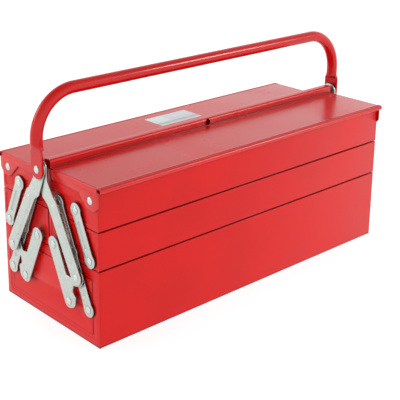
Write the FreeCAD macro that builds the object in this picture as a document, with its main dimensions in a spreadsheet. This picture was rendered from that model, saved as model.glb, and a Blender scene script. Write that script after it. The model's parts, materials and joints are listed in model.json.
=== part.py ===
import FreeCAD, Part
import os
import Sketcher
from FreeCAD import Placement, Rotation, Vector

# A cantilever toolbox of red sheet steel: a long bottom box, two middle trays, two lidded upper trays,
# and one tubular bow handle that opens both sides through zinc-plated linkages on the two ends.
#
# Frame: X runs along the box, Y from front (-) to rear (+), Z up. The origin is on the floor, under the
# middle of the box. "Out" below is a distance from the middle plane of the box towards the front or the
# rear, and "away" is a distance from the middle towards the left or the right end.

# alias, millimetres, what it is
SIZES = [
    ("box_length", 530, "length of the box over its end panels"),
    ("box_depth", 204, "front to rear over the walls"),
    ("sheet", 0.8, "thickness of the body's sheet steel"),
    ("box_height", 102, "bottom box, floor to rim"),
    ("seam", 1, "gap between one tray's rim and the tray above"),
    ("middle_tray_top", 152.5, "rim of the middle trays"),
    ("front_tray_top", 207, "inner rim of the front upper tray"),
    ("rear_tray_top", 199.5, "inner rim of the rear upper tray"),
    ("rim_cut", 8, "the outer top corner of an upper tray's ends, cut back by this"),
    ("rim_drop_front", 5, "how far the outer rim is below the inner rim, front"),
    ("rim_drop_rear", 7.5, "how far the outer rim is below the inner rim, rear"),
    ("half_split", 1, "half of the gap between the front and the rear trays"),
    ("hem_height", 6, "folded rim of a wall"),
    ("panel_border", 8, "flat border round the pressed field of an end panel"),
    ("tray_border", 4, "the same border on the trays"),
    ("upper_field", 6.5, "gap from the lid rivets down to an upper tray's pressed field"),
    ("press_depth", 0.8, "depth of the pressed field"),
    ("front_lid_top", 210, "top of the front lid"),
    ("rear_lid_top", 202, "top of the rear lid"),
    ("lid_reach", 109, "outer edge of a lid, out"),
    ("bead_radius", 3.5, "rolled outer edge of a lid"),
    ("ridge_top", 220.2, "top of the ridge along the front lid's inner edge"),
    ("ridge_front", 9.5, "front face of the ridge, ahead of the middle"),
    ("ridge_back", 4, "back face of the ridge, behind the middle"),
    ("ridge_foot", 205, "lower edge of the ridge's back wall"),
    ("rear_flange_top", 217, "upright flange of the rear lid, just behind the ridge"),
    ("rear_flange_at", 5.5, "front face of that flange, behind the middle"),
    ("flap_depth_front", 14.5, "end skirt of the front lid"),
    ("flap_depth_rear", 10, "end skirt of the rear lid"),
    ("flap_gap", 0.5, "between a lid's end skirt and the tray's end"),
    ("ear_radius", 12, "round ear of the lid about its rivet"),
    ("lid_pivot_out", 88, "lid rivets, out"),
    ("front_lid_pivot", 190.5, "lid rivets, height, front"),
    ("rear_lid_pivot", 185, "lid rivets, height, rear"),
    ("padlock_hole", 4.5, "radius of the padlock hole"),
    ("padlock_height", 214.8, "centre of the padlock hole"),
    ("crank_out", 48, "crank pivot on the bottom box, out"),
    ("long_out", 83, "long lever pivot on the bottom box, out"),
    ("box_pivot_height", 46.5, "both pivots on the bottom box"),
    ("short_out", 87, "short lever pivot on the middle tray, out"),
    ("middle_pivot_height", 113, "the three pivots on a middle tray"),
    ("lower_run", 30.5, "a lever from the box to the middle tray leans in by this"),
    ("upper_run", 26.4, "and from the middle tray to the upper tray by this"),
    ("upper_rise", 57.5, "height of the upper tray's pivots above the middle tray's"),
    ("crank_tip_out", 68, "rivet joining crank and arm, out"),
    ("crank_tip_height", 86, "and its height"),
    ("handle_pivot", 208.5, "height of the handle's rivets"),
    ("knee_out", 21, "bend of an arm, out"),
    ("knee_height", 170, "bend of an arm, height"),
    ("plate", 1.8, "thickness of levers, cranks and arms"),
    ("lever_at", 266.3, "inner face of the levers, away"),
    ("crank_at", 269.9, "inner face of the cranks, away"),
    ("front_arm_at", 273.3, "inner face of the front arms, away"),
    ("rear_arm_at", 275.4, "inner face of the rear arms, away"),
    ("tab_at", 277.5, "inner face of the handle's flattened ends, away"),
    ("tab", 3.2, "thickness of the handle's flattened ends"),
    ("tube", 8, "outer radius of the handle's tube"),
    ("tube_bore", 6.9, "inner radius of the tube"),
    ("bend", 57, "bend radius of the handle, at the tube's centre"),
    ("bow_top", 303.5, "centre of the handle's grip, height"),
    ("tube_foot", 235, "where the tube starts to flatten, height"),
    ("tab_end", 224, "where it is flat, height"),
    ("tab_radius", 12, "half the width of the flattened end"),
    ("eye", 9.5, "radius of a lever's round end"),
    ("waist", 8, "half the width of a lever between its ends"),
    ("arm_half", 9.5, "half the width of an arm, and the radius of its foot"),
    ("crank_eye", 10.5, "radius of a crank's end on the middle tray"),
    ("lobe", 10, "radius of the crank's lobe"),
    ("slot_half", 3.3, "half the width of the slot in the lobe"),
    ("drain_hole", 1.5, "radius of the drain hole in each leg of the handle"),
    ("drain_up", 4, "and its height above the tube's foot"),
    ("flap_inset", 2, "from the ridge or the flange to the end skirt"),
    ("shank", 2.5, "radius of a rivet's shank"),
    ("pivot_hole", 2.55, "radius of the hole round a shank"),
    ("head", 5, "radius of a rivet's head"),
    ("head_height", 1.4, "height of a rivet's head"),
    ("tail", 4.5, "radius of a rivet's closed end"),
    ("collar", 5.5, "radius of a spacer collar"),
    ("play", 0.1, "gap beside a turning plate"),
    ("label_width", 77, "blank label, along the box"),
    ("label_depth", 40, "blank label, front to rear"),
    ("label_out", 68, "middle of the label, out"),
    ("label_shift", 5, "middle of the label, right of the middle"),
    ("label_sheet", 0.2, "thickness of the label"),
]

document = FreeCAD.newDocument("cantilever_toolbox")
sheet = document.addObject("Spreadsheet::Sheet", "Sizes")
for row, (alias, millimetres, meaning) in enumerate(SIZES, start=1):
    sheet.set(f"A{row}", meaning)
    sheet.set(f"B{row}", str(millimetres))
    sheet.setAlias(f"B{row}", alias)
document.recompute()

ALIASES = {alias for alias, _, _ in SIZES}
WORD_PARTS = "abcdefghijklmnopqrstuvwxyz_0123456789"
FRONT, REAR = -1, 1
SIDES = {"front": FRONT, "rear": REAR}
LEFT, RIGHT = -1, 1
ENDS = {"left": LEFT, "right": RIGHT}
HIDDEN_TAIL = 1.3  # height of a rivet's closed end
HEAD_FLAT = 0.6  # flat top of a rivet's head, as a share of the head
RUN_PAST = 5  # how far a cut runs past a face
DIAGONAL = 0.7071  # share of a length that a 45 degree slope covers each way

parts = {}  # node name -> the object whose shape it is


# --- expressions ---------------------------------------------------------------------------------------


def formula(text):
    """An expression with each alias written as a cell of the Sizes sheet."""
    words, word = [], ""
    for letter in str(text) + " ":
        if letter in WORD_PARTS:
            word += letter
            continue
        words.append(f"Sizes.{word}" if word in ALIASES else word)
        words.append(letter)
        word = ""
    return "".join(words).strip()


def value(text):
    """The number that an expression has now."""
    return float(sheet.evalExpression(formula(text)))


def signed(side, text):
    """A distance out or away, as a coordinate on that side."""
    return f"{side} * ({text})"


def keep(name, thing):
    """Names a sub-part."""
    thing.Label = name
    parts[name] = thing
    return thing


# --- sketches and bodies -------------------------------------------------------------------------------


def new_body(name):
    return keep(name, document.addObject("PartDesign::Body", name))


def sketch_on(body, role, lift="0"):
    """A sketch on one of the body's own origin planes, lifted off it along the plane's normal."""
    sketch = body.newObject("Sketcher::SketchObject", "Sketch")
    plane = [item for item in body.Origin.OriginFeatures if item.Role == role][0]
    sketch.AttachmentSupport = (plane, "")
    sketch.MapMode = "FlatFace"
    sketch.setExpression("AttachmentOffset.Base.z", formula(lift))
    return sketch


def pin(sketch, geometry, point, across, up):
    """Ties a point of the sketch to two expressions."""
    for kind, text in (("DistanceX", across), ("DistanceY", up)):
        tie = Sketcher.Constraint(kind, -1, 1, geometry, point, value(text))
        number = sketch.addConstraint(tie)
        sketch.setExpression(f"Constraints[{number}]", formula(text))


def bind_radius(sketch, curve, radius):
    number = sketch.addConstraint(Sketcher.Constraint("Radius", curve, value(radius)))
    sketch.setExpression(f"Constraints[{number}]", formula(radius))


def outline(sketch, corners):
    """A closed outline of straight edges."""
    spots = [Vector(value(across), value(up), 0) for across, up in corners]
    edges = []
    for start, end in zip(spots, spots[1:] + spots[:1]):
        edges.append(sketch.addGeometry(Part.LineSegment(start, end)))
    for here, after, (across, up) in zip(edges, edges[1:] + edges[:1], corners):
        sketch.addConstraint(Sketcher.Constraint("Coincident", here, 2, after, 1))
        pin(sketch, here, 1, across, up)


def rectangle(sketch, left, bottom, right, top):
    outline(sketch, [(left, bottom), (right, bottom), (right, top), (left, top)])


def circle(sketch, across, up, radius):
    centre = Vector(value(across), value(up), 0)
    ring = sketch.addGeometry(Part.Circle(centre, Vector(0, 0, 1), value(radius)))
    pin(sketch, ring, 3, across, up)
    bind_radius(sketch, ring, radius)


def band(sketch, start, end, radius):
    """A straight band with round ends, from one point to another."""
    first = Vector(value(start[0]), value(start[1]), 0)
    last = Vector(value(end[0]), value(end[1]), 0)
    along = (last - first).normalize()
    beside = Vector(-along.y, along.x, 0) * value(radius)
    caps = []
    for centre, forward in ((first, -along), (last, along)):
        edge = beside if forward == along else -beside
        arc = Part.Arc(centre - edge, centre + forward * value(radius), centre + edge)
        caps.append(sketch.addGeometry(arc))
    sides = [
        sketch.addGeometry(Part.LineSegment(first - beside, last - beside)),
        sketch.addGeometry(Part.LineSegment(last + beside, first + beside)),
    ]
    joints = [(caps[0], 2, sides[0], 1), (sides[0], 2, caps[1], 1)]
    joints += [(caps[1], 2, sides[1], 1), (sides[1], 2, caps[0], 1)]
    for joint in joints:
        sketch.addConstraint(Sketcher.Constraint("Tangent", *joint))
    pin(sketch, caps[0], 3, *start)
    pin(sketch, caps[1], 3, *end)
    bind_radius(sketch, caps[0], radius)


def extrude(body, kind, sketch, length, reverse=False, both_ways=False):
    """A Pad or a Pocket of a sketch."""
    feature = body.newObject(f"PartDesign::{kind}", kind)
    feature.Profile = sketch
    feature.setExpression("Length", formula(length))
    feature.Reversed = reverse
    feature.Midplane = both_ways
    document.recompute()
    return feature


def cut(body, sketch, length, reverse=False, both_ways=False):
    """A Pocket that has to take something away."""
    before = body.Shape.Volume
    extrude(body, "Pocket", sketch, length, reverse, both_ways)
    if body.Shape.Volume >= before:
        raise ValueError(f"a pocket of {body.Label} cuts nothing")


# --- sheet-steel boxes and trays -----------------------------------------------------------------------


def folded_shell(name, side, inner, outer, bottom, inner_top, outer_top):
    """Floor and two long walls, folded from one sheet, each rim hemmed to double thickness."""
    body = new_body(name)
    near, far = signed(side, inner), signed(side, outer)
    turn = 1 if value(far) > value(near) else -1
    profile = sketch_on(body, "YZ_Plane")
    step = f"{turn} * sheet"
    corners = [
        (near, bottom),
        (far, bottom),
        (far, outer_top),
        (f"{far} - 2 * {step}", outer_top),
        (f"{far} - 2 * {step}", f"{outer_top} - hem_height"),
        (f"{far} - {step}", f"{outer_top} - hem_height"),
        (f"{far} - {step}", f"{bottom} + sheet"),
        (f"{near} + {step}", f"{bottom} + sheet"),
        (f"{near} + {step}", f"{inner_top} - hem_height"),
        (f"{near} + 2 * {step}", f"{inner_top} - hem_height"),
        (f"{near} + 2 * {step}", inner_top),
        (near, inner_top),
    ]
    outline(profile, corners)
    extrude(body, "Pad", profile, "box_length - 2 * sheet", both_ways=True)
    return body


def end_panel(name, end, corners, field, holes):
    """A flat end panel at one end, with a field pressed inwards and a hole for each rivet."""
    body = new_body(name)
    plate = sketch_on(body, "YZ_Plane")
    outline(plate, corners)
    extrude(body, "Pad", plate, "sheet")
    bulge = sketch_on(body, "YZ_Plane", "0" if end == RIGHT else "sheet")
    low, bottom, high, top = field
    rectangle(bulge, f"{low} - sheet", f"{bottom} - sheet", f"{high} + sheet", f"{top} + sheet")
    extrude(body, "Pad", bulge, "press_depth", reverse=end == RIGHT)
    hollow = sketch_on(body, "YZ_Plane", "sheet - press_depth" if end == RIGHT else "press_depth")
    rectangle(hollow, low, bottom, high, top)
    cut(body, hollow, "press_depth + 1", reverse=end == RIGHT)
    for out, up in holes:
        hole = sketch_on(body, "YZ_Plane")
        circle(hole, out, up, "pivot_hole")
        cut(body, hole, f"2 * {RUN_PAST}", both_ways=True)
    inner_face = "box_length / 2 - sheet" if end == RIGHT else "-box_length / 2"
    body.setExpression("Placement.Base.x", formula(inner_face))


# Pivots as (out, up), one set for the front and, mirrored, the rear.
MIDDLE_CRANK = ("crank_out - lower_run", "middle_pivot_height")
MIDDLE_LONG = ("long_out - lower_run", "middle_pivot_height")
MIDDLE_SHORT = ("short_out", "middle_pivot_height")
BOX_CRANK = ("crank_out", "box_pivot_height")
BOX_LONG = ("long_out", "box_pivot_height")
UPPER_HEIGHT = "middle_pivot_height + upper_rise"
UPPER_LONG = ("long_out - lower_run - upper_run", UPPER_HEIGHT)
UPPER_SHORT = ("short_out - upper_run", UPPER_HEIGHT)
CRANK_TIP = ("crank_tip_out", "crank_tip_height")
KNEE = ("knee_out", "knee_height")
LID_HEIGHT = {"front": "front_lid_pivot", "rear": "rear_lid_pivot"}
TRAY_TOP = {"front": "front_tray_top", "rear": "rear_tray_top"}
RIM_DROP = {"front": "rim_drop_front", "rear": "rim_drop_rear"}
WALL = "box_depth / 2"
MIDDLE_BOTTOM = "box_height + seam"
UPPER_BOTTOM = "middle_tray_top + seam"


def at(side, pivot):
    """A pivot's coordinates on one side."""
    return signed(side, pivot[0]), pivot[1]


def make_bottom_box():
    folded_shell("box_shell", REAR, f"-{WALL}", WALL, "0", "box_height", "box_height")
    holes = [at(side, pivot) for side in SIDES.values() for pivot in (BOX_CRANK, BOX_LONG)]
    corners = [(f"-{WALL}", "0"), (WALL, "0"), (WALL, "box_height"), (f"-{WALL}", "box_height")]
    edge = f"{WALL} - panel_border"
    field = (f"-({edge})", "panel_border", edge, "box_height - panel_border")
    for word, end in ENDS.items():
        end_panel(f"box_end_{word}", end, corners, field, holes)


def tray_field(side, bottom, top):
    """The pressed field of a tray's end, lowest corner first."""
    spots = (signed(side, "half_split + tray_border"), signed(side, f"{WALL} - tray_border"))
    low, high = sorted(spots, key=value)
    return low, f"{bottom} + tray_border", high, f"{top} - tray_border"


def make_middle_tray(word, side):
    name = f"{word}_middle"
    rim = "middle_tray_top"
    folded_shell(f"{name}_shell", side, "half_split", WALL, MIDDLE_BOTTOM, rim, rim)
    near, far = signed(side, "half_split"), signed(side, WALL)
    corners = [(near, MIDDLE_BOTTOM), (far, MIDDLE_BOTTOM), (far, rim), (near, rim)]
    holes = [at(side, pivot) for pivot in (MIDDLE_CRANK, MIDDLE_LONG, MIDDLE_SHORT)]
    for end_word, end in ENDS.items():
        field = tray_field(side, MIDDLE_BOTTOM, rim)
        end_panel(f"{name}_end_{end_word}", end, corners, field, holes)


def make_upper_tray(word, side):
    """The outer rim is lower than the inner one, so that the lid can turn over it."""
    name = f"{word}_upper"
    rim = TRAY_TOP[word]
    outer_rim = f"{rim} - {RIM_DROP[word]}"
    folded_shell(f"{name}_shell", side, "half_split", WALL, UPPER_BOTTOM, rim, outer_rim)
    near, far = signed(side, "half_split"), signed(side, WALL)
    cut_back = signed(side, f"{WALL} - rim_cut")
    corners = [(near, UPPER_BOTTOM), (far, UPPER_BOTTOM), (far, outer_rim), (cut_back, rim), (near, rim)]
    lid_pivot = ("lid_pivot_out", LID_HEIGHT[word])
    holes = [at(side, pivot) for pivot in (UPPER_LONG, UPPER_SHORT, lid_pivot)]
    low, bottom, high, _ = tray_field(side, UPPER_BOTTOM, rim)
    field = (low, bottom, high, "rear_lid_pivot - upper_field")
    for end_word, end in ENDS.items():
        end_panel(f"{name}_end_{end_word}", end, corners, field, holes)


# --- lids ----------------------------------------------------------------------------------------------

LID_HALF = "box_length / 2 + flap_gap + sheet"
BEAD_OUT = "lid_reach - bead_radius"


def front_lid_profile():
    """Top sheet with the ridge that stands along its inner edge, as (y, z)."""
    top = "front_lid_top"
    return [
        (f"-({BEAD_OUT})", top),
        ("-ridge_front", top),
        ("-ridge_front", "ridge_top"),
        ("ridge_back", "ridge_top"),
        ("ridge_back", "ridge_foot"),
        ("ridge_back - sheet", "ridge_foot"),
        ("ridge_back - sheet", "ridge_top - sheet"),
        ("-ridge_front + sheet", "ridge_top - sheet"),
        ("-ridge_front + sheet", f"{top} - sheet"),
        (f"-({BEAD_OUT})", f"{top} - sheet"),
    ]


def rear_lid_profile():
    """Top sheet with an upright flange along its inner edge, as (y, z)."""
    top = "rear_lid_top"
    return [
        (BEAD_OUT, top),
        ("rear_flange_at + sheet", top),
        ("rear_flange_at + sheet", "rear_flange_top"),
        ("rear_flange_at", "rear_flange_top"),
        ("rear_flange_at", f"{top} - sheet"),
        (BEAD_OUT, f"{top} - sheet"),
    ]


def make_lid(word, side, profile, top, depth, inner):
    """Top sheet with a rolled outer edge, and an end skirt whose ear turns about the lid's rivet."""
    body = new_body(f"{word}_lid")
    section = sketch_on(body, "YZ_Plane")
    outline(section, profile)
    extrude(body, "Pad", section, f"2 * ({LID_HALF})", both_ways=True)
    bead = sketch_on(body, "YZ_Plane")
    middle = (signed(side, BEAD_OUT), f"{top} - bead_radius")
    circle(bead, *middle, "bead_radius")
    circle(bead, *middle, "bead_radius - sheet")
    extrude(body, "Pad", bead, f"2 * ({LID_HALF})", both_ways=True)
    pivot = ("lid_pivot_out", LID_HEIGHT[word])
    slant = f"ear_radius * {DIAGONAL}"  # the notch leaves the ear at 45 degrees
    foot = (f"lid_pivot_out - {slant}", f"{pivot[1]} - {slant}")
    skirt = f"{top} - {depth}"
    flap = [
        (inner, f"{top} - sheet / 2"),
        ("lid_reach - bead_radius", f"{top} - sheet / 2"),
        ("lid_pivot_out + ear_radius + 5", f"{pivot[1]} - 3"),
        (f"lid_pivot_out + {slant}", f"{pivot[1]} - {slant}"),
        pivot,
        foot,
        (f"{foot[0]} - ({skirt} - ({foot[1]}))", skirt),
        (inner, skirt),
    ]
    for end in ENDS.values():
        lift = signed(end, f"{LID_HALF} - sheet")
        for shape in ("skirt", "ear"):
            sketch = sketch_on(body, "YZ_Plane", lift)
            if shape == "skirt":
                outline(sketch, [at(side, corner) for corner in flap])
            else:
                circle(sketch, *at(side, pivot), "ear_radius")
            extrude(body, "Pad", sketch, "sheet", reverse=end == LEFT)
    hole = sketch_on(body, "YZ_Plane")
    circle(hole, *at(side, pivot), "pivot_hole")
    cut(body, hole, f"2 * ({LID_HALF}) + {RUN_PAST}", both_ways=True)
    lock = sketch_on(body, "XZ_Plane")
    circle(lock, "0", "padlock_height", "padlock_hole")
    cut(body, lock, "4 * ridge_front", both_ways=True)
    return body


def make_label():
    """A blank label on the rear lid."""
    label = keep("label", document.addObject("Part::Box", "label"))
    label.setExpression("Length", formula("label_width"))
    label.setExpression("Width", formula("label_depth"))
    label.setExpression("Height", formula("label_sheet"))
    label.setExpression("Placement.Base.x", formula("label_shift - label_width / 2"))
    label.setExpression("Placement.Base.y", formula("label_out - label_depth / 2"))
    label.setExpression("Placement.Base.z", formula("rear_lid_top"))


# --- linkage plates ------------------------------------------------------------------------------------

# Outlines below are (out, up) corners, given from the pivots that the plate joins.
CRANK_WEB = [
    BOX_CRANK,
    ("crank_out + 9", "box_pivot_height + 3"),
    ("crank_out + 13.5", "box_pivot_height + 11"),
    ("crank_out + 8.5", "box_pivot_height + 15.5"),
    ("crank_out + 9.5", "box_pivot_height + 24"),
    ("crank_tip_out - 2", "crank_tip_height - 12"),
    ("crank_tip_out - 8", "crank_tip_height - 2"),
    ("crank_out - lower_run + 20", "middle_pivot_height - 31"),
]
SLOT_START = ("crank_tip_out - 0.3", "crank_tip_height + 0.3")
SLOT_STOP = ("crank_tip_out - 1.2", "crank_tip_height - 4.1")
ARM_HEAD = [
    ("0", "handle_pivot + tab_radius"),
    ("tab_radius", "handle_pivot + 2"),
    ("tab_radius + 1", "knee_height + 25"),
    ("knee_out + 3", "knee_height + 9"),
    ("knee_out + 8.2", "knee_height + 4.7"),
    KNEE,
    ("knee_out - 8.2", "knee_height - 4.7"),
    ("3", "knee_height + 2"),
    ("-5", "knee_height + 20"),
    ("-tab_radius", "handle_pivot - 2"),
]


def plate(name, side, end, layer, shapes, holes):
    """A flat steel plate at one end, built up from round-ended bands, discs and outlines."""
    body = new_body(name)
    for kind, *shape in shapes:
        sketch = sketch_on(body, "YZ_Plane")
        if kind == "band":
            band(sketch, at(side, shape[0]), at(side, shape[1]), shape[2])
        elif kind == "disc":
            circle(sketch, *at(side, shape[0]), shape[1])
        else:
            outline(sketch, [at(side, corner) for corner in shape[0]])
        extrude(body, "Pad", sketch, "plate")
    for pivot in holes:
        sketch = sketch_on(body, "YZ_Plane")
        circle(sketch, *at(side, pivot), "pivot_hole")
        cut(body, sketch, f"2 * {RUN_PAST}", both_ways=True)
    inner_face = layer if end == RIGHT else f"-({layer} + plate)"
    body.setExpression("Placement.Base.x", formula(inner_face))
    return body


def make_long_lever(name, side, end):
    pivots = [BOX_LONG, MIDDLE_LONG, UPPER_LONG]
    shapes = [("band", BOX_LONG, MIDDLE_LONG, "waist"), ("band", MIDDLE_LONG, UPPER_LONG, "waist")]
    shapes += [("disc", pivot, "eye") for pivot in pivots]
    plate(name, side, end, "lever_at", shapes, pivots)


def make_short_lever(name, side, end):
    pivots = [MIDDLE_SHORT, UPPER_SHORT]
    shapes = [("band", *pivots, "waist")] + [("disc", pivot, "eye") for pivot in pivots]
    plate(name, side, end, "lever_at", shapes, pivots)


def make_crank(name, side, end):
    """Straight back from the box to the middle tray, and a lobe that carries the arm.

    The lobe's hole is a slot, because the arm's rivet wanders in it while the trays open."""
    shapes = [
        ("band", BOX_CRANK, MIDDLE_CRANK, "eye"),
        ("disc", MIDDLE_CRANK, "crank_eye"),
        ("outline", CRANK_WEB),
        ("disc", CRANK_TIP, "lobe"),
    ]
    body = plate(name, side, end, "crank_at", shapes, [BOX_CRANK, MIDDLE_CRANK])
    slot = sketch_on(body, "YZ_Plane")
    band(slot, at(side, SLOT_START), at(side, SLOT_STOP), "slot_half")
    cut(body, slot, f"2 * {RUN_PAST}", both_ways=True)


def make_arm(name, side, end, layer):
    """From the handle's rivet down to the knee, then out to the crank's lobe."""
    shapes = [
        ("band", CRANK_TIP, KNEE, "arm_half"),
        ("outline", ARM_HEAD),
        ("disc", ("0", "handle_pivot"), "tab_radius"),
    ]
    plate(name, side, end, layer, shapes, [CRANK_TIP, ("0", "handle_pivot")])


# --- handle --------------------------------------------------------------------------------------------

TAB_MIDDLE = "tab_at + tab / 2"


def make_handle():
    """One bent tube; each end is pressed flat and has a round tip about its rivet.

    A drain hole at each foot of the bow opens the tube's inside."""
    body = new_body("handle")
    rise = "bow_top - bend"
    route = sketch_on(body, "XZ_Plane")
    half, foot, knee, top, radius = (
        value(text) for text in (TAB_MIDDLE, "tube_foot", rise, "bow_top", "bend")
    )
    lean = radius * (1 - 0.5**0.5)
    path = [
        Part.LineSegment(Vector(-half, foot, 0), Vector(-half, knee, 0)),
        Part.Arc(
            Vector(-half, knee, 0),
            Vector(-half + lean, top - lean, 0),
            Vector(-half + radius, top, 0),
        ),
        Part.LineSegment(Vector(-half + radius, top, 0), Vector(half - radius, top, 0)),
        Part.Arc(
            Vector(half - radius, top, 0), Vector(half - lean, top - lean, 0), Vector(half, knee, 0)
        ),
        Part.LineSegment(Vector(half, knee, 0), Vector(half, foot, 0)),
    ]
    runs = [route.addGeometry(edge) for edge in path]
    left_leg, left_bend, grip, right_bend, right_leg = runs
    joints = [(left_leg, 2, left_bend, 2), (left_bend, 1, grip, 1)]
    joints += [(grip, 2, right_bend, 2), (right_bend, 1, right_leg, 1)]
    for joint in joints:
        route.addConstraint(Sketcher.Constraint("Coincident", *joint))
    pin(route, left_leg, 1, f"-({TAB_MIDDLE})", "tube_foot")
    pin(route, left_leg, 2, f"-({TAB_MIDDLE})", rise)
    pin(route, grip, 1, f"-({TAB_MIDDLE}) + bend", "bow_top")
    pin(route, grip, 2, f"{TAB_MIDDLE} - bend", "bow_top")
    pin(route, right_leg, 1, TAB_MIDDLE, rise)
    pin(route, right_leg, 2, TAB_MIDDLE, "tube_foot")
    for arc in (left_bend, right_bend):
        bind_radius(route, arc, "bend")
    for kind, radius_text in (("AdditivePipe", "tube"), ("SubtractivePipe", "tube_bore")):
        ring = sketch_on(body, "XY_Plane", "tube_foot")
        circle(ring, f"-({TAB_MIDDLE})", "0", radius_text)
        pipe = body.newObject(f"PartDesign::{kind}", kind)
        pipe.Profile = ring
        pipe.Spine = route
        document.recompute()
    for end in ENDS.values():
        middle = signed(end, TAB_MIDDLE)
        rim = sketch_on(body, "XY_Plane", "tube_foot")
        circle(rim, middle, "0", "tube")
        flat = sketch_on(body, "XY_Plane", "tab_end")
        rectangle(
            flat,
            f"{middle} - tab / 2",
            "-tab_radius",
            f"{middle} + tab / 2",
            "tab_radius",
        )
        loft = body.newObject("PartDesign::AdditiveLoft", "Loft")
        loft.Profile = rim
        loft.Sections = [flat]
        document.recompute()
        tab = sketch_on(body, "YZ_Plane", f"{middle} - tab / 2")
        band(tab, ("0", "handle_pivot"), ("0", "tab_end - tab_radius / 2"), "tab_radius")
        extrude(body, "Pad", tab, "tab")
    hole = sketch_on(body, "YZ_Plane")
    circle(hole, "0", "handle_pivot", "pivot_hole")
    cut(body, hole, "3 * box_length", both_ways=True)
    drain = sketch_on(body, "YZ_Plane")
    circle(drain, "0", "tube_foot + drain_up", "drain_hole")
    cut(body, drain, f"2 * ({TAB_MIDDLE})", both_ways=True)


# --- rivets --------------------------------------------------------------------------------------------


def rod(owner, kind, length, away, **radii):
    """A Part cylinder or cone along X, starting a distance away from the middle on one end."""
    thing = document.addObject(f"Part::{kind}", "Rod")
    for name, text in radii.items():
        thing.setExpression(name, formula(text))
    thing.setExpression("Height", formula(length))
    side, end, pivot = owner
    out, up = at(side, pivot)
    thing.Placement = Placement(Vector(0, 0, 0), Rotation(Vector(0, 1, 0), 90 * end))
    thing.setExpression("Placement.Base.x", formula(signed(end, away)))
    thing.setExpression("Placement.Base.y", formula(out))
    thing.setExpression("Placement.Base.z", formula(up))
    return thing


def rivet(side, end, pivot, inner, outer, collar=None, tail="tail"):
    """One rivet: a closed end inside the face at `inner`, a domed head on the face at `outer`."""
    owner = (side, end, pivot)
    pieces = [
        rod(owner, "Cylinder", HIDDEN_TAIL, f"{inner} - {HIDDEN_TAIL}", Radius=tail),
        rod(owner, "Cylinder", f"{outer} - ({inner})", inner, Radius="shank"),
        rod(owner, "Cone", "head_height", outer, Radius1="head", Radius2=f"head * {HEAD_FLAT}"),
    ]
    if collar:
        start, stop = collar
        pieces.append(rod(owner, "Cylinder", f"{stop} - ({start})", start, Radius="collar"))
    whole = document.addObject("Part::MultiFuse", "Rivet")
    whole.Shapes = pieces
    return whole


def rivet_group(name, rivets):
    group = keep(name, document.addObject("Part::Compound", name))
    group.Links = rivets


PANEL_FACE = "box_length / 2"
INSIDE = f"{PANEL_FACE} - sheet - press_depth"
FIELD_FACE = f"{PANEL_FACE} - press_depth"
LEVER_OUT = "lever_at + plate + play"
CRANK_OUT = "crank_at + plate + play"
LEVER_RIVET = {"inner": INSIDE, "outer": LEVER_OUT, "collar": (FIELD_FACE, "lever_at - play")}
CRANK_RIVET = {"inner": INSIDE, "outer": CRANK_OUT, "collar": (FIELD_FACE, "crank_at - play")}


def at_both_ends(side, pivot, **fit):
    return [rivet(side, end, pivot, **fit) for end in ENDS.values()]


def make_rivets():
    box = []
    for word, side in SIDES.items():
        box += at_both_ends(side, BOX_CRANK, **CRANK_RIVET)
        box += at_both_ends(side, BOX_LONG, **LEVER_RIVET)
        middle = at_both_ends(side, MIDDLE_CRANK, **CRANK_RIVET)
        for pivot in (MIDDLE_LONG, MIDDLE_SHORT):
            middle += at_both_ends(side, pivot, **LEVER_RIVET)
        rivet_group(f"{word}_middle_rivets", middle)
        upper = at_both_ends(side, UPPER_LONG, **LEVER_RIVET)
        upper += at_both_ends(side, UPPER_SHORT, **LEVER_RIVET)
        rivet_group(f"{word}_upper_rivets", upper)
        lid_pivot = ("lid_pivot_out", LID_HEIGHT[word])
        lid_face = f"{LID_HALF} + play"
        lid_rivets = at_both_ends(side, lid_pivot, inner=f"{PANEL_FACE} - sheet", outer=lid_face)
        rivet_group(f"{word}_lid_rivets", lid_rivets)
        arm_face = f"{word}_arm_at"
        spacer = ("crank_at + plate + play", arm_face)
        tip = at_both_ends(
            side, CRANK_TIP, inner="crank_at - play", outer=f"{arm_face} + plate", collar=spacer
        )
        rivet_group(f"{word}_arm_rivets", tip)
    rivet_group("box_rivets", box)
    handle_face = "tab_at + tab + play"
    pins = at_both_ends(
        FRONT, ("0", "handle_pivot"), inner="front_arm_at - play", outer=handle_face, tail="collar"
    )
    rivet_group("handle_rivets", pins)


# --- the whole toolbox ---------------------------------------------------------------------------------

make_bottom_box()
for word, side in SIDES.items():
    make_middle_tray(word, side)
    make_upper_tray(word, side)
    for end_word, end in ENDS.items():
        make_long_lever(f"{word}_long_lever_{end_word}", side, end)
        make_short_lever(f"{word}_short_lever_{end_word}", side, end)
        make_crank(f"{word}_crank_{end_word}", side, end)
        make_arm(f"{word}_arm_{end_word}", side, end, f"{word}_arm_at")
make_lid("front", FRONT, front_lid_profile(), "front_lid_top", "flap_depth_front", "ridge_front + flap_inset")
make_lid("rear", REAR, rear_lid_profile(), "rear_lid_top", "flap_depth_rear", "rear_flange_at + flap_inset")
make_label()
make_handle()
make_rivets()
document.recompute()

for thing in document.Objects:
    if "Invalid" in thing.State or "Error" in thing.State:
        raise ValueError(f"{thing.Label} failed: {thing.State}")
os.makedirs("parts", exist_ok=True)
for name, thing in parts.items():
    if thing.Shape.isNull() or not thing.Shape.isValid():
        raise ValueError(f"{name} has no valid shape")
for name, thing in parts.items():
    thing.Shape.exportStep(f"parts/{name}.step")
print(f"{len(parts)} sub-parts written")
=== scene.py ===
import json
import math

import bmesh
import bpy
import numpy as np
from mathutils import Matrix, Vector
from mathutils.geometry import delaunay_2d_cdt, tessellate_polygon


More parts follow.
